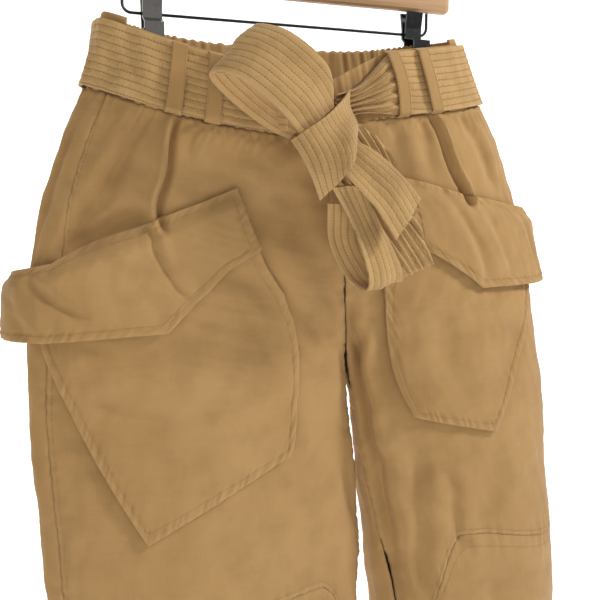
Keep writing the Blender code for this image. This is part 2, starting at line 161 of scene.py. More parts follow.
# Sash stretches: a row for each end or fold, as the low edge of the ribbon there and then
# its high one, each in X, Y and Z.
ribbons = {
    "bow_loop_up": (
        (-0.034, -0.1225, -0.250, -0.002, -0.1165, -0.226),
        (-0.060, -0.1370, -0.230, -0.020, -0.1420, -0.194),
        (-0.092, -0.1380, -0.208, -0.052, -0.1440, -0.170),
        (-0.110, -0.1260, -0.202, -0.074, -0.1320, -0.162),
        (-0.108, -0.1080, -0.206, -0.072, -0.1140, -0.164),
        (-0.084, -0.0985, -0.224, -0.046, -0.1020, -0.180),
        (-0.054, -0.0926, -0.242, -0.016, -0.0950, -0.204),
        (-0.034, -0.0920, -0.250, 0.004, -0.0940, -0.220),
    ),
    "bow_loop_down": (
        (-0.014, -0.1377, -0.292, 0.014, -0.1405, -0.290),
        (0.004, -0.1340, -0.318, 0.036, -0.1280, -0.320),
        (0.016, -0.1360, -0.346, 0.050, -0.1300, -0.346),
        (0.026, -0.1320, -0.374, 0.062, -0.1260, -0.368),
        (0.026, -0.1220, -0.383, 0.064, -0.1180, -0.375),
        (0.014, -0.1100, -0.372, 0.056, -0.1150, -0.366),
        (-0.001, -0.1060, -0.340, 0.040, -0.1160, -0.340),
        (-0.008, -0.1180, -0.306, 0.020, -0.1240, -0.304),
    ),
    "bow_tail_front": (
        (-0.012, -0.1430, -0.274, 0.002, -0.1240, -0.248),
        (0.010, -0.1472, -0.297, 0.027, -0.1370, -0.261),
        (0.026, -0.1490, -0.314, 0.048, -0.1480, -0.282),
        (0.044, -0.1460, -0.337, 0.067, -0.1470, -0.302),
    ),
    "bow_tail_back": (
        (-0.004, -0.1170, -0.282, 0.018, -0.1228, -0.238),
        (0.018, -0.1120, -0.306, 0.044, -0.1160, -0.251),
        (0.040, -0.1060, -0.336, 0.066, -0.1120, -0.279),
        (0.058, -0.1020, -0.360, 0.090, -0.1050, -0.325),
        (0.073, -0.0980, -0.376, 0.110, -0.0980, -0.363),
    ),
}
# The knot's rows run down it, each from its left edge to its right one.
knotRows = (
    (-0.046, -0.1270, -0.254, 0.024, -0.0925, -0.205),
    (-0.040, -0.1330, -0.266, 0.023, -0.0965, -0.220),
    (-0.030, -0.1340, -0.284, 0.017, -0.1250, -0.238),
    (-0.020, -0.1290, -0.303, 0.011, -0.1345, -0.254),
)


# One column of a table at a level, on a smooth curve through its rows.
def column(rows, names, name, level):
    heights = np.array([row[names.index("level")] for row in rows])[::-1]
    values = np.array([row[names.index(name)] for row in rows])[::-1]
    slopes = np.gradient(values, heights)
    level = np.clip(level, heights[0], heights[-1])
    low = np.clip(np.searchsorted(heights, level) - 1, 0, len(heights) - 2)
    span = heights[low + 1] - heights[low]
    part = (level - heights[low]) / span
    ease = part * part * (3 - 2 * part)
    bend = part * (1 - part) * ((1 - part) * slopes[low] - part * slopes[low + 1]) * span
    return values[low] * (1 - ease) + values[low + 1] * ease + bend


# An ease from nought to one, flat at both ends.
def smooth(part):
    part = np.clip(part, 0.0, 1.0)
    return part * part * (3 - 2 * part)


# The garment's plain surface. Way is 0 at the leg's outer edge, 1 round the front to the
# centre and -1 round the back. An oval body section turns into an oval leg below the hips,
# and the waist sags in the middle.
def clothPoints(side, way, level):
    way, level = np.broadcast_arrays(np.asarray(way, float), np.asarray(level, float))
    sign = -1.0 if side == "left" else 1.0
    body = {name: column(bodyRows, bodyColumns, name, level) for name in bodyColumns[1:]}
    centre = (body["left"] + body["right"]) / 2
    half = (body["right"] - body["left"]) / 2
    turn = -sign * np.radians(body["turn"])
    angle = np.abs(way) * (math.pi / 2 + turn)
    power = np.where(way > 0, 1.0, 2.0 / body["square"])
    across = np.sign(np.cos(angle)) * np.abs(np.cos(angle)) ** power
    outward = np.abs(np.sin(angle)) ** power
    bodyX = centre + sign * half * across
    bodyY = body["middle"] + np.where(way > 0, -body["front"], body["back"]) * outward

    rows = legRows[side]
    leg = {name: column(rows, legColumns, name, level) for name in legColumns[1:]}
    angle = way * math.pi
    legX = (leg["outer"] + leg["inner"]) / 2 + (leg["outer"] - leg["inner"]) / 2 * np.cos(angle)
    depth = np.where(np.sin(angle) > 0, leg["front"], leg["back"])
    legY = leg["middle"] - depth * np.sin(angle)

    merge = smooth((mergeTop - level) / (mergeTop - crotchLevel))
    x = bodyX * (1 - merge) + legX * merge
    y = bodyY * (1 - merge) + legY * merge
    frontSag = leftSag if side == "left" else rightSag
    centreSag = (leftSag - frontSag) * np.abs(way) ** 8
    bow = np.sin(np.abs(way) * math.pi / 2) ** 2
    sag = np.where(way > 0, frontSag * bow + centreSag, backSag * bow ** 2)
    z = level - sag * (1 - smooth((waistSeam - level) / (waistSeam - sagEnd)))
    return np.stack([x, y, z], -1)


# Outward unit normals, from two short steps along the surface.
def clothNormals(side, way, level):
    stepWay, stepLevel = 0.004, 0.002
    along = clothPoints(side, way + stepWay, level) - clothPoints(side, way - stepWay, level)
    up = clothPoints(side, way, level + stepLevel) - clothPoints(side, way, level - stepLevel)
    normal = np.cross(along, up) * (1.0 if side == "left" else -1.0)
    return normal / np.linalg.norm(normal, axis=-1, keepdims=True)


# Points and normals all round: place is 0 at the centre front, -1 and 1 at the sides.
def roundPoints(place, level):
    place, level = np.broadcast_arrays(np.asarray(place, float), np.asarray(level, float))
    onLeft = place <= 0
    points = np.where(onLeft[..., None], clothPoints("left", 1 + place, level),
                      clothPoints("right", 1 - place, level))
    normals = np.where(onLeft[..., None], clothNormals("left", 1 + place, level),
                       clothNormals("right", 1 - place, level))
    return points, normals


# The side seam slides from its place on the body to its place on the leg.
def seamPlace(side, level):
    merge = smooth((mergeTop - level) / (mergeTop - crotchLevel))
    onBody, onLeg = seamPlaces[side]
    return onBody * (1 - merge) + onLeg * merge


# The knee seam rises towards the middle and drops at the inner edge.
def kneeSeam(side, part):
    rise = 0.020 * smooth((part - 0.35) / 0.35)
    return kneeLevels[side] + rise - 0.120 * smooth((part - 0.68) / 0.30)


# Creases: side, a start and an end (each as a way round and a level), the width of the crease
# in metres, its depth (minus is a trough), and how much of the depth rises again beside it.
creaseRows = (
    ("left", 0.565, -0.205, 0.560, -0.318, 0.0032, -0.0065, 0.8),
    ("left", 0.600, -0.205, 0.640, -0.285, 0.0080, -0.0018, 0.3),
    ("left", 0.470, -0.212, 0.415, -0.253, 0.0085, -0.0040, 0.4),
    ("left", 0.415, -0.253, 0.385, -0.290, 0.0100, -0.0075, 0.5),
    ("left", 0.385, -0.290, 0.300, -0.332, 0.0120, -0.0065, 0.5),
    ("left", 0.250, -0.345, 0.520, -0.303, 0.0100, -0.0080, 0.2),
    ("left", 0.130, -0.235, 0.080, -0.330, 0.0100, -0.0030, 0.3),
    ("left", 0.700, -0.240, 0.880, -0.330, 0.0160, -0.0030, 0.3),
    ("left", 0.860, -0.250, 0.990, -0.400, 0.0150, -0.0040, 0.4),
    ("left", 0.720, -0.350, 0.920, -0.455, 0.0130, -0.0030, 0.4),
    ("left", 0.760, -0.480, 0.900, -0.620, 0.0150, -0.0030, 0.4),
    ("left", 0.250, -0.480, 0.420, -0.500, 0.0070, -0.0022, 0.4),
    ("left", 0.420, -0.500, 0.620, -0.470, 0.0090, -0.0020, 0.4),
    ("left", 0.300, -0.440, 0.560, -0.425, 0.0110, -0.0030, 0.4),
    ("left", 0.500, -0.630, 0.620, -0.780, 0.0140, -0.0030, 0.4),
    ("left", 0.250, -0.700, 0.330, -0.930, 0.0150, -0.0030, 0.4),
    ("left", 0.700, -0.800, 0.550, -0.980, 0.0130, -0.0028, 0.4),
    ("right", 0.587, -0.205, 0.546, -0.300, 0.0036, -0.0080, 0.7),
    ("right", 0.640, -0.205, 0.650, -0.262, 0.0090, -0.0028, 0.4),
    ("right", 0.740, -0.205, 0.790, -0.275, 0.0110, -0.0030, 0.4),
    ("right", 0.400, -0.215, 0.330, -0.285, 0.0110, -0.0028, 0.4),
    ("right", 0.995, -0.400, 0.945, -0.466, 0.0070, -0.0050, 0.3),
    ("right", 0.945, -0.440, 0.905, -0.500, 0.0080, -0.0080, 0.4),
    ("right", 0.905, -0.500, 0.875, -0.562, 0.0090, -0.0085, 0.4),
    ("right", 0.875, -0.562, 0.852, -0.640, 0.0100, -0.0070, 0.4),
    ("right", 0.852, -0.640, 0.830, -0.760, 0.0100, -0.0045, 0.4),
    ("right", 0.620, -0.575, 0.595, -0.655, 0.0060, -0.0026, 0.5),
    ("right", 0.705, -0.550, 0.745, -0.690, 0.0090, -0.0032, 0.5),
    ("right", 0.460, -0.560, 0.500, -0.640, 0.0120, -0.0022, 0.4),
    ("right", 0.500, -0.700, 0.560, -0.860, 0.0140, -0.0030, 0.4),
    ("right", 0.260, -0.760, 0.300, -0.980, 0.0140, -0.0030, 0.4),
    ("right", 0.640, -0.420, 0.560, -0.500, 0.0130, -0.0026, 0.4),
    ("right", 0.330, -0.430, 0.420, -0.500, 0.0120, -0.0026, 0.4),
    ("left", -0.350, -0.300, -0.700, -0.420, 0.0160, -0.0040, 0.4),
    ("left", -0.500, -0.430, -0.950, -0.500, 0.0150, -0.0050, 0.4),
    ("left", -0.300, -0.600, -0.420, -0.850, 0.0160, -0.0035, 0.4),
    ("left", -0.700, -0.640, -0.560, -0.800, 0.0140, -0.0030, 0.4),
    ("right", -0.300, -0.300, -0.650, -0.400, 0.0160, -0.0040, 0.4),
    ("right", -0.450, -0.420, -0.940, -0.495, 0.0150, -0.0050, 0.4),
    ("right", -0.400, -0.600, -0.450, -0.900, 0.0160, -0.0035, 0.4),
    ("right", -0.700, -0.650, -0.560, -0.820, 0.0140, -0.0030, 0.4),
)


# How far the cloth stands in or out: every crease is a soft bell across its line, with a
# lower ridge beside it, and it fades out at the line's two ends.
def creases(side, way, level):
    total = np.zeros(np.broadcast(way, level).shape)
    for owner, way0, level0, way1, level1, width, depth, ridge in creaseRows:
        if owner != side:
            continue
        runX, runY = (way1 - way0) * wayLength, level1 - level0
        length = math.hypot(runX, runY)
        offX, offY = (way - way0) * wayLength, level - level0
        along = (offX * runX + offY * runY) / length
        beside = (offX * runY - offY * runX) / length
        beside = beside + 0.002 * np.sin(along * 95 + 5 * way0)
        fade = (smooth((along + 2 * width) / (4 * width))
                * smooth((length + 2 * width - along) / (4 * width)))
        bell = np.exp(-(beside / width) ** 2)
        shoulder = np.exp(-((beside - 2.1 * width) / (1.3 * width)) ** 2)
        total = total + creaseStrength * fade * depth * (bell - ridge * shoulder)
    return total


# Small unevenness of washed cotton: slow waves that cross each other at odd angles.
def rumple(side, way, level):
    x, z = way * wayLength + (0.7 if side == "left" else 0.0), level
    waves = np.sin(41 * x + 23 * z + 1.3 * np.sin(19 * z)) * np.sin(13 * x - 37 * z + 1.1)
    fine = np.sin(149 * x + 61 * z + 2 * np.sin(47 * z)) * np.sin(71 * x - 113 * z + 0.6 * np.sin(83 * x))
    tiny = np.sin(353 * x + 167 * z + 2 * np.sin(97 * z)) * np.sin(131 * x - 311 * z)
    return 0.0013 * waves + 0.00060 * fine + 0.00020 * tiny


# Gathers under the elastic at the back: long ones and short ones, deepest at the seam.
def gathers(way, level):
    below = np.clip((waistSeam - level) / 0.12, 0, 1)
    wave = np.sin(150 * way) + 0.6 * np.sin(91 * way + 1) + 0.5 * np.sin(233 * way + 2)
    return np.where(way < 0.1, 0.0012 * wave * (1 - below) ** 2 * smooth((0.1 - way) / 0.2), 0.0)


# Puckers along a sewn line: short ripples across it that die away within a fingertip.
def puckers(distance, along, reach=0.010, height=0.0005):
    ripple = np.sin(along * 690 + 1.7 * np.sin(along * 173)) + 0.5 * np.sin(along * 411 + 1)
    return height * ripple * np.exp(-(distance / reach) ** 2)


# The cloth's own surface with its creases, moved out by a lift.
def wornPoints(side, way, level, lift=0.0):
    way, level = np.broadcast_arrays(np.asarray(way, float), np.asarray(level, float))
    out = creases(side, way, level) + rumple(side, way, level) + gathers(way, level)
    out = out * smooth((waistSeam + 0.004 - level) / 0.012)
    normals = clothNormals(side, way, level)
    return clothPoints(side, way, level) + (out + lift)[..., None] * normals, normals


# Unit normals of a free grid, from the directions of its rows and columns.
def gridNormals(points):
    normal = np.cross(np.gradient(points, axis=1), np.gradient(points, axis=0))
    return normal / np.linalg.norm(normal, axis=-1, keepdims=True)


# Lengths of a grid's edges in one direction.
def steps(points, axis):
    return np.linalg.norm(np.diff(points, axis=axis), axis=-1)


# Metres along and across a grid, as its UV map.
def gridUv(points):
    rows, columns = points.shape[:2]
    u = np.zeros((rows, columns))
    v = np.zeros((rows, columns))
    u[:, 1:] = np.cumsum(steps(points, 1), 1)
    v[1:] = np.cumsum(steps(points, 0), 0)
    return np.stack([u, v], -1)


# Wear is one at a piece's edges and dies away inside it.
def edgeWear(uv, reach):
    inside = np.minimum(np.minimum(uv[..., 0], uv[..., 0].max(1, keepdims=True) - uv[..., 0]),
                        np.minimum(uv[..., 1], uv[..., 1].max(0, keepdims=True) - uv[..., 1]))
    return np.exp(-(inside / reach) ** 2)


# A mesh object from arrays, placed at the origin.
def putMesh(name, vertices, faces, material, smoothShade=True):
    mesh = bpy.data.meshes.new(name)
    mesh.vertices.add(len(vertices))
    mesh.vertices.foreach_set("co", np.asarray(vertices, np.float32).ravel())
    size = faces.shape[1]
    mesh.loops.add(faces.size)
    mesh.loops.foreach_set("vertex_index", faces.astype(np.int32).ravel())
    mesh.polygons.add(len(faces))
    mesh.polygons.foreach_set("loop_start", np.arange(0, faces.size, size, dtype=np.int32))
    mesh.update(calc_edges=True)
    mesh.validate()
    mesh.polygons.foreach_set("use_smooth", np.full(len(faces), smoothShade))
    mesh.materials.append(material)
    piece = bpy.data.objects.new(name, mesh)
    bpy.context.scene.collection.objects.link(piece)
    return piece


# A closed wall between two grids, with metres as its UV and wear at its edges.
def wall(name, near, far, material, wearReach=0.004):
    rows, columns = near.shape[:2]
    count = rows * columns
    index = np.arange(count).reshape(rows, columns)
    corners = np.stack([index[:-1, :-1], index[:-1, 1:], index[1:, 1:], index[1:, :-1]], -1).reshape(-1, 4)
    rim = np.concatenate([index[0, :-1], index[:-1, -1], index[-1, :0:-1], index[:0:-1, 0]])
    following = np.roll(rim, -1)
    band = np.stack([following, rim, rim + count, following + count], -1)
    faces = np.concatenate([corners, corners[:, ::-1] + count, band])
    vertices = np.concatenate([near.reshape(-1, 3), far.reshape(-1, 3)])
    triangles = vertices[faces[:, :3]]
    volume = np.einsum("ij,ij->i", triangles[:, 0], np.cross(triangles[:, 1], triangles[:, 2])).sum()
    triangles = vertices[faces[:, (0, 2, 3)]]
    volume += np.einsum("ij,ij->i", triangles[:, 0], np.cross(triangles[:, 1], triangles[:, 2])).sum()
    if volume < 0:
        faces = faces[:, ::-1]
    piece = putMesh(name, vertices, faces, material)
    uv = gridUv(far)
    wear = edgeWear(uv, wearReach).ravel()
    flatUv = np.tile(uv.reshape(-1, 2), (2, 1))
    layer = piece.data.uv_layers.new(name="cut")
    loops = np.empty(len(piece.data.loops), np.int32)
    piece.data.loops.foreach_get("vertex_index", loops)
    layer.data.foreach_set("uv", flatUv[loops].astype(np.float32).ravel())
    attribute = piece.data.attributes.new("wear", "FLOAT", "POINT")
    attribute.data.foreach_set("value", np.tile(wear, 2).astype(np.float32))
    return piece


# Hides the part's node, puts the cloth piece under the root and prints its cut: the longest row and column
# of its own grid.
def finishSheet(piece, node, points):
    uv = gridUv(points)
    width, length = float(uv[..., 0].max()), float(uv[..., 1].max())
    cells = np.cross(np.diff(points, axis=1)[:-1], np.diff(points, axis=0)[:, :-1])
    area = float(np.linalg.norm(cells, axis=-1).sum())
    width, length = max(round(width, 4), 0.0102), round(length, 4)
    area = min(max(area, 0.31 * width * length), 0.995 * width * length)
    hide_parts(node)
    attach(piece, "root")
    print(f"{piece.name}: cut {width * 1000:.0f} x {length * 1000:.0f} mm")


# Stitches along a line: little capsules, each a ring of six at its two shoulders and a tip
# at each end.
def stitches(line, normals, pitch=0.0030, length=0.0021, radius=0.00022):
    gaps = np.concatenate([[0], np.cumsum(np.linalg.norm(np.diff(line, axis=0), axis=1))])
    places = np.arange(pitch / 2, gaps[-1], pitch)
    centres = np.stack([np.interp(places, gaps, line[:, k]) for k in range(3)], -1)
    ahead = np.stack([np.interp(places + 0.0005, gaps, line[:, k]) for k in range(3)], -1)
    out = np.stack([np.interp(places, gaps, normals[:, k]) for k in range(3)], -1)
    along = ahead - centres
    along /= np.maximum(np.linalg.norm(along, axis=1, keepdims=True), 1e-9)
    side = np.cross(along, out)
    side /= np.linalg.norm(side, axis=1, keepdims=True)
    angles = np.arange(6) * math.pi / 3
    ring = np.cos(angles)[None, :, None] * side[:, None] + np.sin(angles)[None, :, None] * out[:, None]
    back, front = -0.32 * length, 0.32 * length
    parts = [centres[:, None] - 0.5 * length * along[:, None] - 0.3 * radius * out[:, None],
             centres[:, None] + back * along[:, None] + radius * ring,
             centres[:, None] + front * along[:, None] + radius * ring,
             centres[:, None] + 0.5 * length * along[:, None] - 0.3 * radius * out[:, None]]
    vertices = np.concatenate(parts, 1)
    one = [(0, 1 + (k + 1) % 6, 1 + k) for k in range(6)]
    one += [(1 + k, 1 + (k + 1) % 6, 7 + (k + 1) % 6) for k in range(6)]
    one += [(1 + k, 7 + (k + 1) % 6, 7 + k) for k in range(6)]
    one += [(13, 7 + k, 7 + (k + 1) % 6) for k in range(6)]
    faces = (np.array(one)[None] + 14 * np.arange(len(centres))[:, None, None]).reshape(-1, 3)
    return vertices.reshape(-1, 3), faces


threadLines = []


# Keeps one line of stitches, a little above the cloth, for the piece that joins them all.
def sew(line, normals, lift=0.0002, **sizes):
    threadLines.append(stitches(line + lift * normals, normals, **sizes))


# A node group with its own inputs and outputs.
def newGroup(name, inputs, outputs):
    group = bpy.data.node_groups.new(name, "ShaderNodeTree")
    for label, kind, value in inputs:
        socket = group.interface.new_socket(name=label, in_out="INPUT", socket_type=kind)
        socket.default_value = value
    for label, kind in outputs:
        group.interface.new_socket(name=label, in_out="OUTPUT", socket_type=kind)
    return group, group.nodes.new("NodeGroupInput"), group.nodes.new("NodeGroupOutput")


# Noise at a scale, stretched by a factor for each axis where it has one.
def noise(nodes, links, source, scale, detail, stretch=None):
    node = nodes.new("ShaderNodeTexNoise")
    node.inputs["Scale"].default_value = scale
    node.inputs["Detail"].default_value = detail
    if stretch:
        mapping = nodes.new("ShaderNodeMapping")
        mapping.inputs["Scale"].default_value = stretch
        links.new(source, mapping.inputs["Vector"])
        source = mapping.outputs["Vector"]
    links.new(source, node.inputs["Vector"])
    return node.outputs["Fac"]


# Arithmetic on two values or sockets.
def math2(nodes, links, kind, a, b):
    node = nodes.new("ShaderNodeMath")
    node.operation = kind
    for socket, value in zip(node.inputs, (a, b)):
        if isinstance(value, (int, float)):
            socket.default_value = value
        else:
            links.new(value, socket)
    return node.outputs[0]


# A mix of two colours, each a socket or a plain one.
def mixColour(nodes, links, factor, a, b, blend="MIX"):
    node = nodes.new("ShaderNodeMix")
    node.data_type = "RGBA"
    node.blend_type = blend
    for socket, value in ((node.inputs[0], factor), (node.inputs[6], a), (node.inputs[7], b)):
        if isinstance(value, (int, float)):
            socket.default_value = value
        elif isinstance(value, tuple):
            socket.default_value = (*value, 1.0)
        else:
            links.new(value, socket)
    return node.outputs[2]


# The weave: slubs both ways, clouds of wash, worn edges, and a height for the bump.
def buildWeave():
    group, given, result = newGroup(
        "cotton weave",
        (("Vector", "NodeSocketVector", (0, 0, 0)), ("Base", "NodeSocketColor", (0.4, 0.2, 0.1, 1)),
         ("Light", "NodeSocketColor", (0.5, 0.3, 0.1, 1)), ("Dark", "NodeSocketColor", (0.2, 0.1, 0.05, 1)),
         ("Wear", "NodeSocketFloat", 0.0)),
        (("Color", "NodeSocketColor"), ("Height", "NodeSocketFloat")))
    nodes, links = group.nodes, group.links
    place = given.outputs["Vector"]
    upSlubs = noise(nodes, links, place, 1.0, 3, (620, 620, 22))
    acrossSlubs = noise(nodes, links, place, 1.0, 3, (24, 24, 640))
    clouds = noise(nodes, links, place, 11, 4)
    fade = noise(nodes, links, place, 38, 5)
    grain = noise(nodes, links, place, 900, 2)
    slubs = math2(nodes, links, "ADD", upSlubs, acrossSlubs)
    streak = math2(nodes, links, "MULTIPLY", math2(nodes, links, "SUBTRACT", slubs, 1.0), 1.5)
    streak = math2(nodes, links, "ADD", streak, 0.5)
    cloud = math2(nodes, links, "MULTIPLY", math2(nodes, links, "SUBTRACT", clouds, 0.42), 2.6)
    colour = mixColour(nodes, links, cloud, given.outputs["Base"], given.outputs["Light"])
    spots = math2(nodes, links, "MULTIPLY", math2(nodes, links, "SUBTRACT", fade, 0.45), 1.4)
    colour = mixColour(nodes, links, spots, colour, given.outputs["Dark"])
    dim = math2(nodes, links, "MULTIPLY", streak, 0.30)
    colour = mixColour(nodes, links, dim, colour, given.outputs["Light"])
    patchy = math2(nodes, links, "MULTIPLY", fade, 1.1)
    rubbed = math2(nodes, links, "MULTIPLY", given.outputs["Wear"], patchy)
    colour = mixColour(nodes, links, rubbed, colour, given.outputs["Light"])
    links.new(colour, result.inputs["Color"])
    height = math2(nodes, links, "ADD", slubs, math2(nodes, links, "MULTIPLY", grain, 0.7))
    uneven = math2(nodes, links, "MULTIPLY", fade, 1.2)
    links.new(math2(nodes, links, "ADD", height, uneven), result.inputs["Height"])
    return group


weave = buildWeave()


# A new material, with its nodes, links and shader.
def newMaterial(name, roughness, metallic=0.0):
    material = bpy.data.materials.new(name)
    material.use_nodes = True
    shader = material.node_tree.nodes["Principled BSDF"]
    shader.inputs["Roughness"].default_value = roughness
    shader.inputs["Metallic"].default_value = metallic
    return material, material.node_tree.nodes, material.node_tree.links, shader


# Plain cotton; with rows it also draws the sash's close lines of stitching along its length.
def cottonMaterial(name, base, light, dark, rowWidth=0.0):
    material, nodes, links, shader = newMaterial(name, 0.88)
    place = nodes.new("ShaderNodeTexCoord").outputs["Object"]
    group = nodes.new("ShaderNodeGroup")
    group.node_tree = weave
    links.new(place, group.inputs["Vector"])
    for label, value in (("Base", base), ("Light", light), ("Dark", dark)):
        group.inputs[label].default_value = (*value, 1.0)
    wear = nodes.new("ShaderNodeAttribute")
    wear.attribute_name = "wear"
    links.new(wear.outputs["Fac"], group.inputs["Wear"])
    colour, height = group.outputs["Color"], group.outputs["Height"]
    if rowWidth:
        uv = nodes.new("ShaderNodeUVMap")
        uv.uv_map = "cut"
        axes = nodes.new("ShaderNodeSeparateXYZ")
        links.new(uv.outputs["UV"], axes.inputs[0])
        wobble = noise(nodes, links, place, 60, 2)
        across = math2(nodes, links, "ADD", math2(nodes, links, "DIVIDE", axes.outputs["Y"], rowWidth),
                       math2(nodes, links, "MULTIPLY", wobble, 0.22))
        nearRow = math2(nodes, links, "PINGPONG", across, 0.5)
        row = math2(nodes, links, "LESS_THAN", nearRow, 0.085)
        dash = math2(nodes, links, "PINGPONG", math2(nodes, links, "DIVIDE", axes.outputs["X"], 0.0028), 0.5)
        hole = math2(nodes, links, "LESS_THAN", dash, 0.16)
        darkness = math2(nodes, links, "ADD", math2(nodes, links, "MULTIPLY", hole, 0.5), 0.38)
        mark = math2(nodes, links, "MULTIPLY", row, darkness)
        colour = mixColour(nodes, links, mark, colour, dark)
        groove = math2(nodes, links, "MULTIPLY", math2(nodes, links, "SMOOTH_MIN", nearRow, 0.25), 14.0)
        height = math2(nodes, links, "ADD", height, groove)
    links.new(colour, shader.inputs["Base Color"])
    bump = nodes.new("ShaderNodeBump")
    bump.inputs["Strength"].default_value = 0.35
    bump.inputs["Distance"].default_value = 0.00030
    links.new(height, bump.inputs["Height"])
    links.new(bump.outputs["Normal"], shader.inputs["Normal"])
    shader.inputs["Sheen Weight"].default_value = 0.12
    shader.inputs["Sheen Roughness"].default_value = 0.5
    shader.inputs["Specular IOR Level"].default_value = 0.25
    return material


# Light oak: fine and broad grain, drawn out along the bar.
def woodMaterial():
    material, nodes, links, shader = newMaterial("wood", 0.42)
    place = nodes.new("ShaderNodeTexCoord").outputs["Object"]
    fine = noise(nodes, links, place, 1.0, 5, (9, 160, 260))
    broad = noise(nodes, links, place, 1.0, 3, (5, 40, 46))
    colour = mixColour(nodes, links, broad, (0.64, 0.40, 0.20), (0.46, 0.25, 0.11))
    grain = math2(nodes, links, "MULTIPLY", math2(nodes, links, "SUBTRACT", fine, 0.4), 1.6)
    colour = mixColour(nodes, links, grain, colour, (0.30, 0.15, 0.06))
    links.new(colour, shader.inputs["Base Color"])
    bump = nodes.new("ShaderNodeBump")
    bump.inputs["Strength"].default_value = 0.2
    bump.inputs["Distance"].default_value = 0.0004
    links.new(fine, bump.inputs["Height"])
    links.new(bump.outputs["Normal"], shader.inputs["Normal"])
    shader.inputs["Coat Weight"].default_value = 0.35
    return material


# Plated or lacquered metal, with scuffs that change its colour and its shine.
def metalMaterial(name, colour, worn, roughness, metallic):
    material, nodes, links, shader = newMaterial(name, roughness, metallic)
    place = nodes.new("ShaderNodeTexCoord").outputs["Object"]
    scuffs = noise(nodes, links, place, 240, 5)
    mask = math2(nodes, links, "MULTIPLY", math2(nodes, links, "SUBTRACT", scuffs, 0.5), 1.6)
    links.new(mixColour(nodes, links, mask, colour, worn), shader.inputs["Base Color"])
    links.new(math2(nodes, links, "ADD", math2(nodes, links, "MULTIPLY", scuffs, 0.25), roughness - 0.1),
              shader.inputs["Roughness"])
    bump = nodes.new("ShaderNodeBump")
    bump.inputs["Strength"].default_value = 0.15
    bump.inputs["Distance"].default_value = 0.0002
    links.new(scuffs, bump.inputs["Height"])
    links.new(bump.outputs["Normal"], shader.inputs["Normal"])
    return material


legCloth = cottonMaterial(
    "leg cotton", (0.385, 0.222, 0.080), (0.455, 0.274, 0.110), (0.265, 0.145, 0.048))
sashCloth = cottonMaterial(
    "sash cotton", (0.450, 0.275, 0.105), (0.520, 0.330, 0.140), (0.190, 0.100, 0.034),
    rowGap)
thread = newMaterial("thread", 0.8)[0]
thread.node_tree.nodes["Principled BSDF"].inputs["Base Color"].default_value = (0.36, 0.21, 0.085, 1.0)
print("materials made")


# The inseam's place on the front, as a way round.
def innerPlace(side, level):
    return 1 - column(legRows[side], legColumns, "inseam", level)


# One leg panel: a fine grid from seam to seam, with puckers at its edges.
def legPanel(name, side, fromWay, toWay, top, bottom, count):
    part = np.linspace(0, 1, count[1])
    below = np.linspace(0, 1, count[0])[:, None]
    level = top(part) * (1 - below) + bottom(part) * below
    way = fromWay(level) * (1 - part) + toWay(level) * part
    points, normals = wornPoints(side, way, level)
    uv = gridUv(points)
    ends = uv[..., 0].max(1, keepdims=True) - uv[..., 0]
    floor = uv[..., 1].max(0, keepdims=True) - uv[..., 1]
    out = puckers(uv[..., 0], uv[..., 1]) + puckers(ends, uv[..., 1] + 0.3)
    out = out + puckers(uv[..., 1], uv[..., 0], 0.020, 0.0009)
    out = out + puckers(floor, uv[..., 0], 0.014, 0.0008)
    edge = np.minimum(uv[..., 0], ends)
    out = out - 0.0011 * np.exp(-(edge / 0.0022) ** 2)
    points = points + out[..., None] * normals
    piece = wall(name + "_cloth", points - clothThick * normals, points, legCloth)
    finishSheet(piece, name, points)
    return points, normals


# Front, shin and back of each leg, with their topstitching.
def legs():
    waist = lambda part: np.full_like(part, waistSeam)
    hem = lambda part: np.full_like(part, hemLevel)
    for side in ("left", "right"):
        seam = lambda level: seamPlace(side, level)
        inner = lambda level: innerPlace(side, level)
        innerBack = lambda level: innerPlace(side, level) - 2
        knee = lambda part: kneeSeam(side, part)
        kneeGap = lambda part: kneeSeam(side, part) - seamGap
        points, normals = legPanel("front_" + side, side, seam, inner, waist, knee, grids["front"])
        if side == "left":
            sew(points[6:, 3], normals[6:, 3], pitch=0.0034)
        sew(points[-3, 2:-2], normals[-3, 2:-2], pitch=0.0032)
        points, normals = legPanel("shin_" + side, side, seam, inner, kneeGap, hem, grids["shin"])
        sew(points[-6, 2:-2], normals[-6, 2:-2], pitch=0.0034)
        sew(points[3, 2:-2], normals[3, 2:-2], pitch=0.0032)
        points, normals = legPanel("back_" + side, side, innerBack, seam, waist, hem, grids["back"])
        sew(points[-6, 2:-2], normals[-6, 2:-2], pitch=0.0034)
    print("legs made")


# Small waves round the waistbands: low ones on the plain front, tight gathers on the elastic.
def bandWaves(place, level, gathered):
    tight = np.sin(place * 142 + 2 * np.sin(place * 31)) + 0.5 * np.sin(place * 263 + level * 60)
    slow = np.sin(place * 17 + level * 40)
    return gathered * 0.0009 * tight + 0.0005 * slow


# A waistband between two levels, as a wall of its own thickness.
def bandPiece(node, places, levels, lift, gathered):
    points, normals = roundPoints(places, levels)
    waves = bandWaves(places, levels, gathered)[..., None]
    points = points + (waves + lift) * normals
    outer = points + bandThick * normals
    piece = wall(node + "_cloth", points, outer, legCloth)
    finishSheet(piece, node, outer)


# Places from the left side round the back to the right one, as one row.
def bothWays(start):
    left = np.linspace(-start, -2, 190)
    return np.concatenate([left, -left[-2::-1]])[None, :]


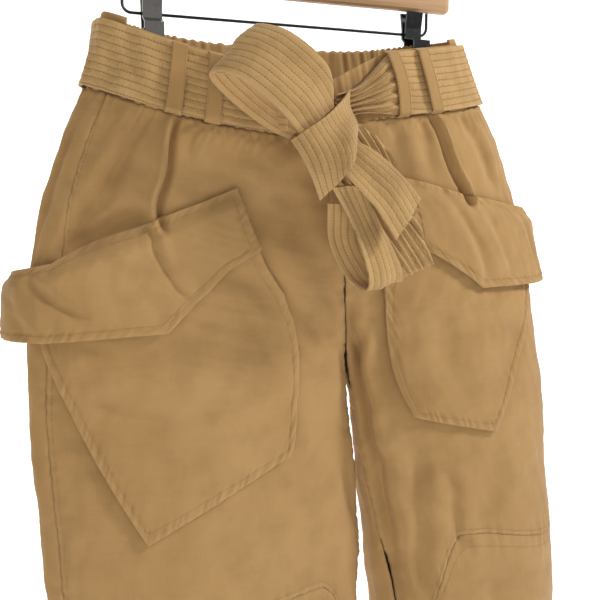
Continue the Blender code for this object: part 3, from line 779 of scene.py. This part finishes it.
# The plain front waistband with its ruched centre, and the elastic back one.
def waistbands():
    rows, columns = grids["band"]
    front = np.linspace(-splitPlace, splitPlace, columns)[None, :]
    top = waistTop - centreDip * smooth(1 - np.abs(front) / 0.36)
    down = np.linspace(0, 1, rows)[:, None]
    levels = top * (1 - down) + waistSeam * down
    ruched = np.exp(-((front - 0.10) / 0.16) ** 2) + 0 * down
    bandPiece("front_waistband", front + 0 * down, levels, -bandThick - layGap, ruched)
    place = bothWays(splitPlace)
    levels = backWaistTop * (1 - down) + waistSeam * down
    elastic = smooth((np.abs(place) - 1.15) / 0.25) + 0 * down
    ruffle = 0.0008 * np.sin(place * 190 + np.sin(place * 37)) * elastic * (1 - down) ** 3
    bandPiece("back_waistband", place + 0 * down, levels + ruffle, -bandThick - 0.0010, elastic)
    print("waistbands made")


# Shallow grooves along the sash's rows of stitching, with a faint quilting between them.
def rowGrooves(uv):
    phase = uv[..., 1] / rowGap
    near = np.abs(phase - np.round(phase))
    puff = 0.00035 * np.sqrt(np.clip(near * 2, 0, 1))
    quilt = np.sin(uv[..., 0] * 1050 + 2.2 * np.sin(uv[..., 1] * 500)) * np.sin(uv[..., 0] * 270 + 1)
    return puff + 0.00016 * quilt


# A stretch of the sash round the body.
def sashRun(name, places, levels, sagging):
    points, normals = roundPoints(places, levels)
    points = points + (beltLift + 0.0004 + sagging)[..., None] * normals
    near = points
    far = points + beltThick * normals
    uv = gridUv(far)
    far = far + rowGrooves(uv)[..., None] * normals
    piece = wall(name + "_cloth", near, far, sashCloth, 0.003)
    finishSheet(piece, name, far)


# The belt: a flat left run, a right run pulled into folds at the bow, and the back.
def sash():
    rows, columns = grids["belt"]
    down = np.linspace(0, 1, rows)[:, None]
    levels = beltTop * (1 - down) + beltBottom * down
    left = np.linspace(-1.0, -0.10, columns)[None, :] + 0 * down
    waves = 0.0011 * np.sin(left * 21 + 3 * down) + 0.0006 * np.sin(left * 47 - 5 * down)
    sashRun("belt_left", left, levels + 0 * left, waves + 0.0014)
    right = np.linspace(1.0, 0.06, columns)[None, :] + 0 * down
    bunched = 1 - smooth((right - 0.10) / 0.22)
    centre = (beltTop + beltBottom) / 2
    narrowed = centre + (levels - centre) * (1 - 0.62 * bunched) - 0.010 * bunched
    pull = 1 - smooth((right - 0.05) / 0.42)
    folds = 0.0052 * pull * (np.sin(down * 2 * math.pi * 2.6 + 4.2 * (1 - right)) ** 2)
    arch = 0.006 * np.exp(-((right - 0.25) / 0.07) ** 2) * np.sin(math.pi * down)
    sashRun("belt_right", right, narrowed, folds + arch + 0.0008 + 0.0004 * np.sin(right * 60))
    place = bothWays(1.0) + 0 * down
    waves = 0.0008 * np.sin(place * 33 + 4 * down) + 0.0009
    sashRun("belt_back", place, levels + 0 * place, waves)
    print("sash made")


# Belt carriers: a name, its place round the waist and how far it bulges.
carrierRows = (("carrier_1", -0.46, 0.0), ("carrier_2", -0.33, 0.0), ("carrier_3", 0.29, 0.0065),
               ("carrier_4", 0.44, 0.001), ("carrier_5", -1.35, 0.0), ("carrier_6", 1.35, 0.0),
               ("carrier_7", 1.98, 0.0))


# Each carrier is a narrow strip that rises over the belt between its two ends.
def carriers():
    over = beltLift + beltThick + 0.0030
    rows, columns = grids["carrier"]
    down = np.linspace(0, 1, rows)[:, None]
    for name, place, bulge in carrierRows:
        pair = roundPoints(np.array([place - 0.03, place - 0.01]), np.full(2, beltTop))[0]
        half = 0.01 * carrierWidth / float(np.linalg.norm(pair[1] - pair[0]))
        places = np.linspace(place - half, place + half, columns)[None, :]
        levels = (beltTop + 0.0016) * (1 - down) + (beltBottom - 0.0016) * down
        ends = smooth(down / 0.05) * smooth((1 - down) / 0.05)
        lift = 0.0008 + (over - 0.0008) * ends + (bulge + 0.0006) * np.sin(math.pi * down)
        points, normals = roundPoints(places + 0 * down, levels + 0 * places)
        points = points + (lift + 0 * places)[..., None] * normals
        far = points + clothThick * normals
        piece = wall(name + "_cloth", points, far, legCloth, 0.002)
        finishSheet(piece, name, far)
        for edge in (2, -3):
            sew(far[2:-2, edge], normals[2:-2, edge], pitch=0.0028)
    print("carriers made")


# Points on straight lines between a table's rows, evenly by length.
def alongRows(rows, count):
    rows = np.array(rows)
    scale = np.array([wayLength, 1.0, wayLength, 1.0])
    gaps = np.concatenate([[0], np.cumsum(np.linalg.norm(np.diff(rows * scale, axis=0), axis=1))])
    place = np.unique(np.concatenate([np.linspace(0, gaps[-1], count), gaps]))
    return np.stack([np.interp(place, gaps, values) for values in rows.T], -1), place / gaps[-1]


# A patch on the leg: straight across between its edges, raised by a lift, with a sewn rim.
def patch(name, side, edges, count, lift, extra):
    over = np.linspace(0, 1, count)[None, :]
    way = edges[:, :1] * (1 - over) + edges[:, 2:3] * over
    level = edges[:, 1:2] * (1 - over) + edges[:, 3:4] * over
    points, normals = wornPoints(side, way, level, 0.0)
    points = points + lift[..., None] * normals
    uv = gridUv(points)
    inside = np.minimum(np.minimum(uv[..., 0], uv[..., 0].max(1, keepdims=True) - uv[..., 0]),
                        np.minimum(uv[..., 1], uv[..., 1].max(0, keepdims=True) - uv[..., 1]))
    out = puckers(inside - 0.004, uv[..., 0] + uv[..., 1], 0.006, 0.00055)
    out = out - 0.0005 * np.exp(-((inside - 0.0075) / 0.0012) ** 2)
    out = out + extra(uv, inside)
    points = points + out[..., None] * normals
    piece = wall(name + "_cloth", points, points + clothThick * normals, legCloth, 0.0035)
    finishSheet(piece, name, points + clothThick * normals)
    return points + clothThick * normals, normals


# Topstitching inside the named edges of a patch.
def sewEdges(points, normals, edges):
    inset = 0.0072
    rowStep = max(1, int(round(inset / steps(points, 0).mean())))
    columnStep = max(1, int(round(inset / steps(points, 1).mean())))
    rows = slice(rowStep, -rowStep)
    columns = slice(columnStep, -columnStep)
    lines = {"first": (points[rowStep, columns], normals[rowStep, columns]),
             "last": (points[-rowStep - 1, columns], normals[-rowStep - 1, columns]),
             "near": (points[rows, columnStep], normals[rows, columnStep]),
             "far": (points[rows, -columnStep - 1], normals[rows, -columnStep - 1])}
    for edge in edges:
        sew(*lines[edge], pitch=0.0028, length=0.0020)


# Folds of the flaps: a start and an end (each along the flap and down it), a width and a depth.
flapFolds = {
    "left": ((0.66, 0.0, 0.73, 0.85, 0.0036, -0.0036), (0.20, 0.15, 0.40, 0.75, 0.0090, -0.0040),
             (0.10, 0.30, 0.22, 1.0, 0.0080, -0.0020)),
    "right": ((0.80, 0.05, 0.62, 0.95, 0.0100, -0.0030), (0.60, 0.10, 0.50, 0.80, 0.0080, -0.0022),
              (0.30, 0.20, 0.20, 0.90, 0.0100, -0.0020)),
}
flapLength = 0.26


# Pockets lie slack on the fronts; a flap hangs over each, and its outer end stands off.
def pockets():
    for side in ("left", "right"):
        rows, columns = grids["pocket"]
        edges, place = alongRows(pocketRows[side], rows)
        swell = np.sin(math.pi * np.clip(place, 0, 1))[:, None]
        over = np.linspace(0, 1, columns)[None, :]
        lift = pocketLay + 0.0012 + 0.0048 * swell * np.sin(math.pi * over)

        def slack(uv, inside):
            return 0.0012 * np.sin(uv[..., 0] * 34 + uv[..., 1] * 21) * smooth(inside / 0.03)

        points, normals = patch("pocket_" + side, side, edges, columns, lift, slack)
        sewEdges(points, normals, ("last", "near", "far"))

        rows, columns = grids["flap"]
        edges, place = alongRows(flapRows[side], rows)
        down = np.linspace(0, 1, columns)[None, :]
        along = place[:, None]
        over = pocketLay + clothThick + 0.0050
        lift = (0.0022 * (1 - smooth(down * 4)) + over * smooth(down * 4)
                + flapLift[side] * (1 - along) ** 3 + 0.004 * down * np.sin(math.pi * along))

        def folds(uv, inside):
            total = 0 * inside
            for a0, d0, a1, d1, width, depth in flapFolds[side]:
                line = a0 + (a1 - a0) * np.clip((down - d0) / (d1 - d0), 0, 1)
                off = (along - line) * flapLength
                fade = smooth((down - d0 + 0.12) / 0.25) * smooth((d1 + 0.12 - down) / 0.25)
                total = total + fade * depth * (np.exp(-(off / width) ** 2)
                                                - 0.6 * np.exp(-((off - 2 * width) / (1.4 * width)) ** 2))
            return total

        points, normals = patch("flap_" + side, side, edges, columns, lift, folds)
        sewEdges(points, normals, ("last", "near", "far") if side == "left" else ("first", "last", "far"))
    print("pockets made")


# A ribbon through its rows on a smooth curve, bulging forward across its width.
def ribbon(rows, across, between, bulge):
    rows = np.array(rows).reshape(len(rows), 2, 3)
    place = np.linspace(0, len(rows) - 1, (len(rows) - 1) * between + 1)
    low = np.clip(place.astype(int), 0, len(rows) - 2)
    part = (place - low)[:, None, None]
    slopes = np.gradient(rows, axis=0)
    ease = smooth(part)
    bend = part * (1 - part) * ((1 - part) * slopes[low] - part * slopes[low + 1])
    edges = rows[low] * (1 - ease) + rows[low + 1] * ease + bend
    over = np.linspace(0, 1, across)[None, :, None]
    points = edges[:, :1] * (1 - over) + edges[:, 1:] * over
    points[..., 1] -= bulge * np.sin(math.pi * over[..., 0])
    return points


# A stretch of the bow: stitched rows on both faces, a cup across it and ribs along it.
def bowPiece(name, rows, bulge=0.0, cup=0.0, ribs=0.0):
    points = ribbon(rows, 60, 34, bulge).transpose(1, 0, 2)
    normals = gridNormals(points)
    uv = gridUv(points)
    over = np.linspace(0, 1, points.shape[0])[:, None]
    out = 0.0010 * np.sin(over * 9 + uv[..., 0] * 40) + cup * np.sin(math.pi * over)
    out = out + ribs * np.sin(uv[..., 1] / rowGap * 2 * math.pi)
    grooves = rowGrooves(uv)
    near = points + (out - clothThick / 2 - grooves)[..., None] * normals
    far = points + (out + clothThick / 2 + grooves)[..., None] * normals
    piece = wall(name + "_cloth", near, far, sashCloth, 0.003)
    finishSheet(piece, name, points)


def bow():
    bowPiece("bow_loop_up", ribbons["bow_loop_up"], cup=-0.002)
    bowPiece("bow_loop_down", ribbons["bow_loop_down"])
    bowPiece("bow_tail_front", ribbons["bow_tail_front"], cup=0.0015)
    bowPiece("bow_tail_back", ribbons["bow_tail_back"], ribs=0.0016)
    bowPiece("bow_knot", knotRows, bulge=knotBulge)
    print("bow made")


legs()
waistbands()
sash()
carriers()
pockets()
bow()

counts = np.cumsum([0] + [len(vertices) for vertices, faces in threadLines])
allVertices = np.concatenate([vertices for vertices, faces in threadLines])
allFaces = np.concatenate([faces + start for (vertices, faces), start in zip(threadLines, counts)])
threads = putMesh("topstitching", allVertices, allFaces, thread)
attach(threads, "root")
print(f"topstitching made: {len(allFaces)} faces")

partMaterials = {
    "hanger_bar": woodMaterial(),
    "hanger_hook": metalMaterial("plated steel", (0.42, 0.42, 0.43), (0.25, 0.25, 0.26), 0.28, 0.95),
    "hanger_wire": metalMaterial("black wire", (0.012, 0.012, 0.013), (0.04, 0.04, 0.042), 0.36, 0.3),
}
darkClip = metalMaterial("black clip", (0.012, 0.012, 0.013), (0.05, 0.05, 0.052), 0.34, 0.4)
# The clips are one kind of black clip: the left one's grey, highly metallic material is painted sheen, and
# the right one keeps the plain black.
clipPaintedSheen = metalMaterial("clip painted sheen", (0.24, 0.23, 0.22), (0.10, 0.10, 0.10), 0.30, 0.9)
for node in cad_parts:
    if node.startswith("clip_right"):
        partMaterials[node] = darkClip
    # Painted sheen: the left clip gets the grey material instead of the plain black.
    if node.startswith("clip_left"):
        partMaterials[node] = clipPaintedSheen
for node, material in partMaterials.items():
    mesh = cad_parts[node].data
    mesh.materials.clear()
    mesh.materials.append(material)
print("hanger finished")

# Floor and backdrop in one sweep, and soft light from the upper right.
studio = {"floor": -1.45, "back": 1.6, "side": 5.0, "front": -4.0, "bend": 0.8, "wall": 3.2}
angles = np.linspace(0, math.pi / 2, 16)
profile = [(studio["front"], studio["floor"])]
profile += [(studio["back"] - studio["bend"] + studio["bend"] * math.sin(a),
             studio["floor"] + studio["bend"] * (1 - math.cos(a))) for a in angles]
profile += [(studio["back"], studio["wall"])]
profile = np.array(profile)
sides = np.array([-studio["side"], studio["side"]])
sweep = np.stack([np.stack([np.full(len(profile), x), profile[:, 0], profile[:, 1]], -1) for x in sides], 1)
index = np.arange(len(profile) * 2).reshape(-1, 2)
faces = np.stack([index[:-1, 0], index[:-1, 1], index[1:, 1], index[1:, 0]], -1)
paper, paperShader = newMaterial("studio paper", 0.9)[::3]
paperShader.inputs["Base Color"].default_value = (0.95, 0.95, 0.95, 1.0)
paperShader.inputs["Emission Color"].default_value = (1.0, 1.0, 1.0, 1.0)
paperShader.inputs["Emission Strength"].default_value = 0.55
backdrop = putMesh("studio_sweep", sweep.reshape(-1, 3), faces, paper)

world = bpy.data.worlds.new("studio")
world.use_nodes = True
world.node_tree.nodes["Background"].inputs[0].default_value = (1.0, 0.99, 0.97, 1.0)
world.node_tree.nodes["Background"].inputs[1].default_value = 0.42
bpy.context.scene.world = world

# Lamps: a name, where it stands, where it aims, its size and its power.
lamps = (("key", (1.30, -0.95, 0.75), (0.0, -0.05, -0.40), 0.35, 25.0),
         ("fill", (-1.3, -1.6, 0.2), (0.0, 0.0, -0.5), 1.6, 5.0),
         ("back", (0.4, 1.2, 0.9), (0.0, 0.0, -0.4), 1.0, 6.0))
for name, place, aim, size, power in lamps:
    data = bpy.data.lights.new(name, "AREA")
    data.size = size
    data.energy = power
    lamp = bpy.data.objects.new(name, data)
    lamp.location = place
    lamp.rotation_euler = (Vector(aim) - Vector(place)).to_track_quat("-Z", "Y").to_euler()
    bpy.context.scene.collection.objects.link(lamp)
print("studio made")
